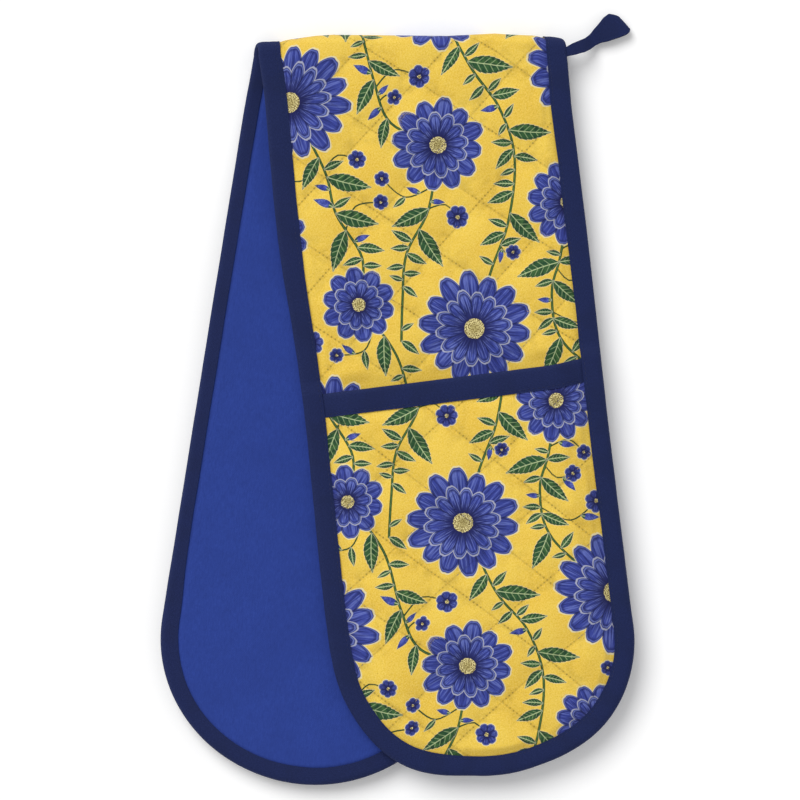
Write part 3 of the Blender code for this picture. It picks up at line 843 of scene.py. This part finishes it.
def thread_material(name, colour, lighter):
    """Fine thread; where it crosses the printed motifs, their colour shows through it."""
    paint = Paint(name, 0.7, sheen=0.1, specular=0.25)
    run, over, crossed = paint.read("Twist")
    twist = (run * 9 + over * 2).math("SINE")
    seen = paint.coats(colour, (twist.rise(-0.6, 0.8) * 0.6 + paint.noise(run * 2, over) * 0.3, lighter),
                       (crossed.rise(0.4, 0.6), (50, 62, 142)), (crossed.rise(1.4, 1.6), (50, 82, 50)))
    return paint.done(seen, twist, 0.04)


def wadding_material():
    paint = Paint("wadding", 0.95, sheen=0.3, specular=0.15)
    x, t, _ = paint.read("Strip")
    tuft = paint.noise(x, t, 0.6, 5, 0.7)
    return paint.done(paint.coats((216, 212, 202), (tuft, (240, 238, 232))), tuft, 0.6)


MATERIALS = {"printed_cotton": printed_cotton(), "brushed_cotton": brushed_cotton(),
             "binding_tape": tape_material(), "wadding": wadding_material()}
YELLOW_THREAD = thread_material("quilting_thread", (206, 164, 50), (228, 190, 80))
NAVY_THREAD = thread_material("navy_thread", (24, 31, 66), (36, 46, 88))


# Bands of tape

TURN = 3.2


def band(name, half, a, s, low, high, run, shape):
    """A closed tube: rows of places go round the tape's cross-section, between heights low and high."""
    h = low + (high - low) * shape[:, 1] + shape[:, 2]
    index = np.arange(a.size).reshape(a.shape)
    faces = [quads(np.pad(index, ((0, 0), (0, 1)), "wrap")), index[:1, ::-1], index[-1:]]
    worn = np.exp(-(shape[:, 0] / 1.6) ** 2)
    tape = beside(run[:, None], 0.9 * np.arange(a.shape[1]), worn)
    return make(name, place(half, a, s, h), faces, MATERIALS["binding_tape"], {"Tape": tape})


def section(front, back, thick):
    """A folded tape's cross-section: (inset, share of the way from low to top, height added)."""
    outer = [(inset, 1, 0) for inset in np.linspace(front, TURN, 9)]
    for turn in np.radians(np.linspace(90, -90, 11))[1:-1]:
        outer.append((TURN - TURN * cos(turn), 0.5 + 0.5 * sin(turn), 0))
    outer += [(inset, 0, 0) for inset in np.linspace(TURN, back, 6)]
    inner = [(back, 0, thick), (4, 0, thick), (1.2, 0.5, 0), (4, 1, -thick), (front, 1, -thick)]
    return np.array(outer + inner)


def edge_path(step):
    """Rows along the left side from the fold, round the tip and back: rows, tip angles, run length."""
    side = np.concatenate([np.linspace(-QUARTER, 0, round(QUARTER / 0.6))[:-1],
                           np.linspace(0, TIP_CENTRE, round(TIP_CENTRE / step))])
    turns = np.linspace(0, pi, round(270 / step))[1:-1]
    rows = np.concatenate([side, np.full(len(turns), TIP_CENTRE), side[::-1]])
    angles = np.concatenate([np.zeros(len(side)), turns, np.full(len(side), pi)])
    a, s = -(HALF_WIDTH - 6) * np.cos(angles), rows + (TIP_DEPTH - 6) * np.sin(angles)
    return rows, angles, run_along(a, s)


def edge_places(rows, angles, inset):
    a = -(HALF_WIDTH - inset) * np.cos(angles)
    return a, rows + (TIP_DEPTH - inset) * np.sin(angles) + hinge(a) * (1 - smooth(rows / LEAN_FADE))


def edge_base(s):
    """Height of the cloth under the front leg of the edge tape."""
    return COVER_EDGE + POCKET_STEP * smooth((s - MOUTH + 8) / 8)


def tape_relief(run, inset, width, seed):
    """Height added to a tape's front leg: fullness, the dent of its stitches and small ripples."""
    leg = np.clip((inset - 2) / (width - 2), 0, 1)
    crown = 0.30 * np.sin(pi * leg) - 0.22 * np.exp(-((inset - width + 1.6) / 0.7) ** 2)
    ripples = 0.10 * noise(run, inset, 5.5, seed) + 0.10 * noise(run, inset * 0.4, 15, seed + 1)
    return crown + leg * ripples


def edge_binding(half, seed):
    rows, angles, run = edge_path(1.3)
    shape = section(*EDGE_LEGS, TAPE_DOUBLED)
    plan, length = shape[:, 0], run[:, None]
    inner = 0.22 * noise(length, 5 + 0 * plan, 21, seed) * smooth(plan / 5)
    outer = 0.18 * noise(length, 0 * plan, 60, seed + 1) + 0.10 * noise(length, 0 * plan, 13, seed + 2)
    leg = wider(rows + TIP_DEPTH * np.sin(angles))[:, None]
    leg = leg * smooth((plan - TURN) / 5) * (shape[:, 1] < 0.4)
    near = ((rows < 150) & (angles < 1) & (half == "front")) * smooth((150 - rows) / 60)
    leg = leg + 1.2 * near[:, None] * smooth((plan - TURN) / 8) * (shape[:, 1] > 0.6)
    a, s = edge_places(rows[:, None], angles[:, None],
                       plan + leg + inner + outer * (1 - smooth(plan / 6)))
    high = edge_base(s) + 0.80 + tape_relief(length, plan, EDGE_LEGS[0], seed + 3)
    low = 0.16 + 0.05 * (1 + noise(length, plan, 9, seed + 5))
    return band(half + "_edge_tape", half, a, s, low, high, run, shape)


def mouth_binding(half, seed):
    span = HALF_WIDTH - LEG + 1
    run = np.linspace(-span, span, 190)
    shape = section(*MOUTH_LEGS, TAPE_DOUBLED)
    plan, length = shape[:, 0], run[:, None]
    wave = 0.16 * noise(length, 0 * plan, 55, seed) + 0.08 * noise(length, 0 * plan, 12, seed + 1)
    s = MOUTH + 0.1 + plan + wave
    a = np.broadcast_to(length, s.shape)
    low = pocket_under(a, np.full_like(s, MOUTH + 8)) - 0.72
    tucked = smooth((np.abs(length) - span + 2.4) / 1.5)
    high = low + 3.67 - 0.70 * tucked + (1 - tucked) * tape_relief(length, plan, MOUTH_LEGS[0], seed + 3)
    return band(half + "_mouth_tape", half, a, s, low, high, run, shape)


# Stitches

STATIONS = np.array([-0.98, -0.66, 0, 0.66, 0.98])
LIFTS = np.array([-0.24, -0.03, 0.03, -0.03, -0.24])
SIZES = np.array([0.07, 0.11, 0.12, 0.11, 0.07])
SIDES = 6


def unit(vectors):
    return vectors / np.linalg.norm(vectors, axis=-1, keepdims=True)


def stitches(name, half, places, height, material, lowest=None, crossed=0):
    """Threads on the cloth: places are rows of (a, s, da, ds), the middle and heading of a stitch."""
    a, s, da, ds = places.T[..., None]
    surface = height(a, s) + LIFTS
    a, s = a + da * STATIONS, s + ds * STATIONS
    centre = place(half, a, s, surface)
    up = unit(place(half, a, s, surface + 0.5) - centre)
    side = np.cross(unit(centre[:, -1:] - centre[:, :1]), up)
    turns = np.arange(SIDES) * 2 * pi / SIDES
    around = np.cos(turns)[:, None] * side[:, :, None] + np.sin(turns)[:, None] * up[:, :, None]
    points = centre[:, :, None] + SIZES[None, :, None, None] * MM * around
    index = np.arange(points.size // 3).reshape(points.shape[:3])
    walls = quads(np.pad(index, ((0, 0), (0, 0), (0, 1)), "wrap").swapaxes(1, 2))
    run = (np.arange(len(places))[:, None] * 1.7 + STATIONS)[:, :, None]
    twist = beside(run, turns, np.reshape(crossed, (-1, 1, 1)))
    faces = [walls, index[:, 0], index[:, -1, ::-1]]
    follow(make(f"{half}_{name}", points, faces, material, {"Twist": twist}), half, lowest)


def quilting_places(turn, low, high, seed):
    """Stitches on both families of lines between two rows of the strip."""
    rng = np.random.default_rng(seed)
    found = []
    for sign in (-1, 1):
        slope = sign * QUILT_ANGLE + turn
        da, ds = cos(slope), sin(slope)
        for k in range(-14, 15):
            along = np.arange(-200, 201) * STITCH
            along = along + rng.normal(0, 0.06, len(along))
            across = k * PITCH + rng.normal(0, 0.05, len(along))
            a, s = across * ds + along * da, QUILT_START - across * da + along * ds
            keep = (inset_of(a, s) > LEG + 0.9) & (s > low(a)) & (s < high)
            found.append(beside(a, s, da, ds)[keep])
    return np.concatenate(found)


def crossed_by(places, half, shift):
    """For each stitch 0 on the ground, 1 on a flower and 2 on a leaf or stem."""
    x, t = printed_place(places[:, 0], places[:, 1], half)
    found = print_layers(x, t, shift)
    green = np.maximum(found["More"][:, 0], found["More"][:, 1]) > 0
    return np.where(found["Kind"][:, 0] > 2, 1, np.where(green, 2, 0))


def edge_stitch_places(inset):
    rows, angles, run = edge_path(0.5)
    wanted = np.arange(2, run[-1] - 2, 2.9)
    a, s = edge_places(np.interp(wanted, run, rows), np.interp(wanted, run, angles), inset)
    return np.column_stack([a, s, unit(beside(np.gradient(a), np.gradient(s)))])


# The hanging loop

LOOP_TAPE, LOOP_LENGTH, LOOP_OPEN, LOOP_SLIT = 0.9, 38.8, 5.4, 0.3
LOOP_HEADING = radians(22.4)
LOOP_OUTS = (0, 4.7, 9.5, 13.6, 17.2, 21, 24.8, 30.6, 34.8, 37.2, 38.8)
LOOP_WIDTHS = (5.6, 6.9, 7.6, 7.3, 7.3, 9, 11.4, 14.8, 15.8, 13, 9)
LOOP_CENTRES = (0, -0.8, -1.5, -1.6, -1, -0.4, -0.5, -0.1, -0.1, -1.1, -1.5)
LOOP_TUCK = 0.7
LOOP_SLANT = 0.22
LOOP_PLACE = 1.9
LOOP_MIDDLE = 2.25
OVER_TABLE = 0.3


def hanging_loop():
    """A band of tape sewn under the edge: a narrow stem that droops to the table and a flared end."""
    open_, shut = (LOOP_OPEN + LOOP_TAPE) / 2, (LOOP_SLIT + LOOP_TAPE) / 2
    droop = -(MIDDLE + LOOP_MIDDLE) + OVER_TABLE + LOOP_TAPE / 2 + open_
    outs = np.linspace(0, LOOP_LENGTH - open_ - LOOP_TAPE / 2, 60)
    middle = droop * smooth((outs - 1.5) / 18.5)
    normal = unit(beside(-np.gradient(middle, outs), 1))
    spread = shut + (open_ - shut) * smooth((outs - 13) / 13)
    centre, aside = beside(outs, middle), normal * spread[:, None]
    turns = np.linspace(0, pi, 16)[1:-1]
    arc = beside(np.sin(turns), np.cos(turns))
    path = np.concatenate([centre + aside, centre[-1] + spread[-1] * arc,
                           (centre - aside)[::-1], centre[0] - spread[0] * arc[::3]])
    ahead = unit(np.roll(path, -1, axis=0) - np.roll(path, 1, axis=0))
    outward = beside(-ahead[:, 1], ahead[:, 0])
    run, out = run_along(*path.T), path[:, 0:1]
    wide = np.interp(out, LOOP_OUTS, LOOP_WIDTHS) * (1 + 0.02 * noise(run, run * 0, 6, 71))[:, None]

    # The tape's cross-section, which is thinner at its edges and has a row of stitches along each
    across = np.concatenate([np.linspace(-1, 1, 13), np.linspace(1, -1, 13)])
    level = np.repeat([0.5, -0.5], 13) * (1 - 0.45 * (np.abs(across) > 0.97))
    dent = 0.16 * np.exp(-((np.abs(across) - 0.72) / 0.08) ** 2) * np.sign(level)
    ripple = 0.22 * noise(run[:, None], across * 4, 7, 72)
    lift = level * LOOP_TAPE - dent + ripple * smooth(np.clip(out / LOOP_LENGTH, 0, 1) * 3)
    shape = path[:, None] + outward[:, None] * lift[:, :, None]
    half = across * wide / 2
    shape[..., 0] -= LOOP_SLANT * half * smooth((out - 18) / 15)
    half = half + np.interp(out, LOOP_OUTS, LOOP_CENTRES)
    turn = LOOP_HEADING * smooth(out / 8)
    start = HALF_WIDTH - LOOP_TUCK + shut + LOOP_TAPE / 2
    a = start + shape[..., 0] * cos(LOOP_HEADING) - half * np.sin(turn)
    s = hinge(HALF_WIDTH) + LOOP_PLACE - shape[..., 0] * sin(LOOP_HEADING) - half * np.cos(turn)
    points = MM * beside(SHIFT + a * COS + s * SIN, HINGE_Y + a * SIN - s * COS,
                         MIDDLE + LOOP_MIDDLE + shape[..., 1])
    faces = [quads(np.pad(np.arange(a.size).reshape(a.shape), (0, 1), "wrap"))]
    worn = np.exp(-((1 - np.abs(across)) / 0.1) ** 2)
    tape = beside(run[:, None], half, worn)
    return make("loop_tape", points, faces, MATERIALS["binding_tape"], {"Tape": tape})


# The pieces

# What reaches the fold: the height of its innermost side, and the solids there that the front's stands for
AT_FOLD = {"cover": (2.6, "fold_cover"), "wadding": (1.85, "fold_wadding"), "lining": (0.15, "fold_lining"),
           "edge_binding": (0.15, "fold_binding_left", "fold_binding_right")}
HEM = 2.5


def follow(piece, half, lowest=None):
    """Lets a piece ride its half; where its lowest height is given, its place is only baked into its mesh."""
    if lowest is None:
        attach(piece, half + "_half")
        return
    if half == "front":
        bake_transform(piece)
    else:
        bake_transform(piece)


def dress(piece, half, solid, slot):
    """Hides the solids that a piece stands for and passes it to follow; the size a cloth piece was cut to is
    worked out but not used.
    """
    lowest, *fold = AT_FOLD.get(solid, [None])
    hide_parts(f"{half}_{solid}", *(fold if half == "front" else ()))
    follow(piece, half, lowest)
    if slot == "wadding":
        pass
    elif slot == "binding_tape":
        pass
    else:
        start, held = (MOUTH, "laid") if "pocket" in solid else (-QUARTER, "folded")
        wide, long, deep = HALF_WIDTH - HEM, HALF_LENGTH - HEM - start, TIP_DEPTH - HEM
        area = 2 * wide * (TIP_CENTRE - start) + pi / 2 * wide * deep
        2 * wide * MM
        long * MM
        area * MM * MM


FINE = 0.72
COVER_SHIFT, POCKET_SHIFT = (31, 68), (52, 150)
MOUTH_STITCHES = np.arange(-74, 74, 2.9)
for half, seed in (("front", 100), ("back", 200)):
    spans = [(-QUARTER, -2, 0.45), (-2, MOUTH + 6, FINE), (MOUTH + 6, TIP_CENTRE, 4)]
    grid = strip_grid(HEM, FINE, spans)
    closed_sheet(half, "printed_cover", "cover", "printed_cotton", grid, cover_top(*grid, seed + 11),
                 cover_top(*grid, seed + 11, False) - 0.95, 5, cloth_layers(*grid, 0, half, COVER_SHIFT))

    grid = strip_grid(2.9, 3, [(-QUARTER, 20, 1.2), (20, TIP_CENTRE, 3)])
    top = cover_top(*grid, seed + 11, False) - 1.4
    closed_sheet(half, "strip_wadding", "wadding", "wadding", grid, top, 1.85 + 0 * top, 1)

    grid = strip_grid(HEM, 1.6, [(-QUARTER, 10, 0.8), (10, TIP_CENTRE, 1.8)])
    low = lining_low(*grid, seed + 21)
    closed_sheet(half, "strip_lining", "lining", "brushed_cotton", grid, low, low + 0.6, 3)

    grid = strip_grid(HEM, FINE, [(MOUTH + 1.2, TIP_CENTRE, FINE)])
    closed_sheet(half, "printed_pocket", "pocket_cover", "printed_cotton", grid,
                 pocket_top(*grid, seed + 31), pocket_top(*grid, seed + 31, False) - 0.85, 5,
                 cloth_layers(*grid, POCKET_TURN, half, POCKET_SHIFT))

    grid = strip_grid(2.9, 3, [(MOUTH + 1.6, TIP_CENTRE, 3)])
    closed_sheet(half, "pocket_filling", "pocket_wadding", "wadding", grid,
                 pocket_top(*grid, seed + 31, False) - 1, pocket_under(*grid) + 0.62, 1)

    grid = strip_grid(HEM, 2.5, [(MOUTH + 1.2, TIP_CENTRE, 2.5)])
    low = pocket_under(*grid)
    closed_sheet(half, "pocket_backing", "pocket_lining", "brushed_cotton", grid, low, low + 0.45, 2)

    dress(edge_binding(half, seed + 41), half, "edge_binding", "binding_tape")
    dress(mouth_binding(half, seed + 51), half, "mouth_binding", "binding_tape")

    places = quilting_places(0, lambda a: hinge(a) - QUARTER + 1.5, MOUTH - 1, seed + 61)
    stitches("quilting_thread", half, places, lambda a, s: cover_top(a, s, seed + 11), YELLOW_THREAD,
             2.6, crossed_by(places, half, COVER_SHIFT))
    places = quilting_places(POCKET_TURN, lambda a: MOUTH + 15, HALF_LENGTH, seed + 62)
    stitches("pocket_thread", half, places, lambda a, s: pocket_top(a, s, seed + 31), YELLOW_THREAD,
             crossed=crossed_by(places, half, POCKET_SHIFT))
    places = edge_stitch_places(10.4)
    stitches("edge_thread", half, places, lambda a, s: edge_base(s) + 0.86, NAVY_THREAD, 2.6)
    places = beside(MOUTH_STITCHES, MOUTH + 12.4, 1, 0)
    stitches("mouth_thread", half, places, lambda a, s: pocket_under(a, MOUTH + 8 + 0 * s) + 3.02,
             NAVY_THREAD)

piece = hanging_loop()
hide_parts("hanging_loop")
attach(piece, "loop")


# Floor, light and camera

FLOOR_HALF, FLOOR_LEVEL, FLOOR_GLOW = 12.0, 0.80, 0.09
SKY_LEVEL = 0.53
SUN_LEVEL, SUN_SPREAD, SUN_TURN = 1.86, radians(38), (radians(-30), radians(-26), 0)
CAMERA_DISTANCE, SEEN_WIDTH, SENSOR = 3, 0.472, 36
CAMERA_PLACE, CAMERA_TURN = (-0.00239, -0.0023, 0.018 + CAMERA_DISTANCE), (0, 0, radians(0.98))


def seen_directly(tree):
    """1 for the rays that show the background itself."""
    path = add_node(tree, "LightPath")
    found = path["Is Camera Ray"]
    for kind in ("Is Glossy Ray", "Is Transmission Ray"):
        found = add_node(tree, "Math", {0: found, 1: path[kind]}, operation="MAXIMUM")[0]
    return found


def emptied_nodes(owner):
    owner.use_nodes = True
    owner.node_tree.nodes.clear()
    return owner.node_tree


def floor():
    mesh = bpy.data.meshes.new("floor")
    corners = [(x * FLOOR_HALF, y * FLOOR_HALF, 0) for x, y in ((-1, -1), (1, -1), (1, 1), (-1, 1))]
    mesh.from_pydata(corners, [], [(0, 1, 2, 3)])
    material = bpy.data.materials.new("floor")
    tree = emptied_nodes(material)
    seen = seen_directly(tree)
    levels = {0: seen, 6: (FLOOR_LEVEL, FLOOR_LEVEL, FLOOR_LEVEL, 1), 7: (1, 1, 1, 1)}
    diffuse = add_node(tree, "BsdfDiffuse", {"Color": add_node(tree, "Mix", levels, data_type="RGBA")[2]})[0]
    lift = add_node(tree, "Math", {0: seen, 1: FLOOR_GLOW}, operation="MULTIPLY")[0]
    glow = add_node(tree, "Emission", {"Strength": lift})[0]
    add_node(tree, "OutputMaterial", {"Surface": add_node(tree, "AddShader", {0: diffuse, 1: glow})[0]})
    mesh.materials.append(material)
    add_object("floor", mesh)


def light_and_camera():
    scene = bpy.context.scene
    scene.world = bpy.data.worlds.new("studio")
    tree = emptied_nodes(scene.world)
    sky, backdrop = [add_node(tree, "Background", {"Color": (1, 1, 1, 1), "Strength": strength})[0]
                     for strength in (SKY_LEVEL, 1)]
    mixed = add_node(tree, "MixShader", {0: seen_directly(tree), 1: sky, 2: backdrop})[0]
    add_node(tree, "OutputWorld", {"Surface": mixed})
    sun = bpy.data.lights.new("key", "SUN")
    sun.energy, sun.angle = SUN_LEVEL, SUN_SPREAD
    add_object("key", sun).rotation_euler = SUN_TURN
    camera = bpy.data.cameras.new("camera")
    camera.sensor_width, camera.lens = SENSOR, SENSOR * CAMERA_DISTANCE / SEEN_WIDTH
    camera.clip_end = 50
    scene.camera = add_object("camera", camera)
    scene.camera.location, scene.camera.rotation_euler = CAMERA_PLACE, CAMERA_TURN
    scene.view_settings.view_transform = "Standard"


floor()
light_and_camera()
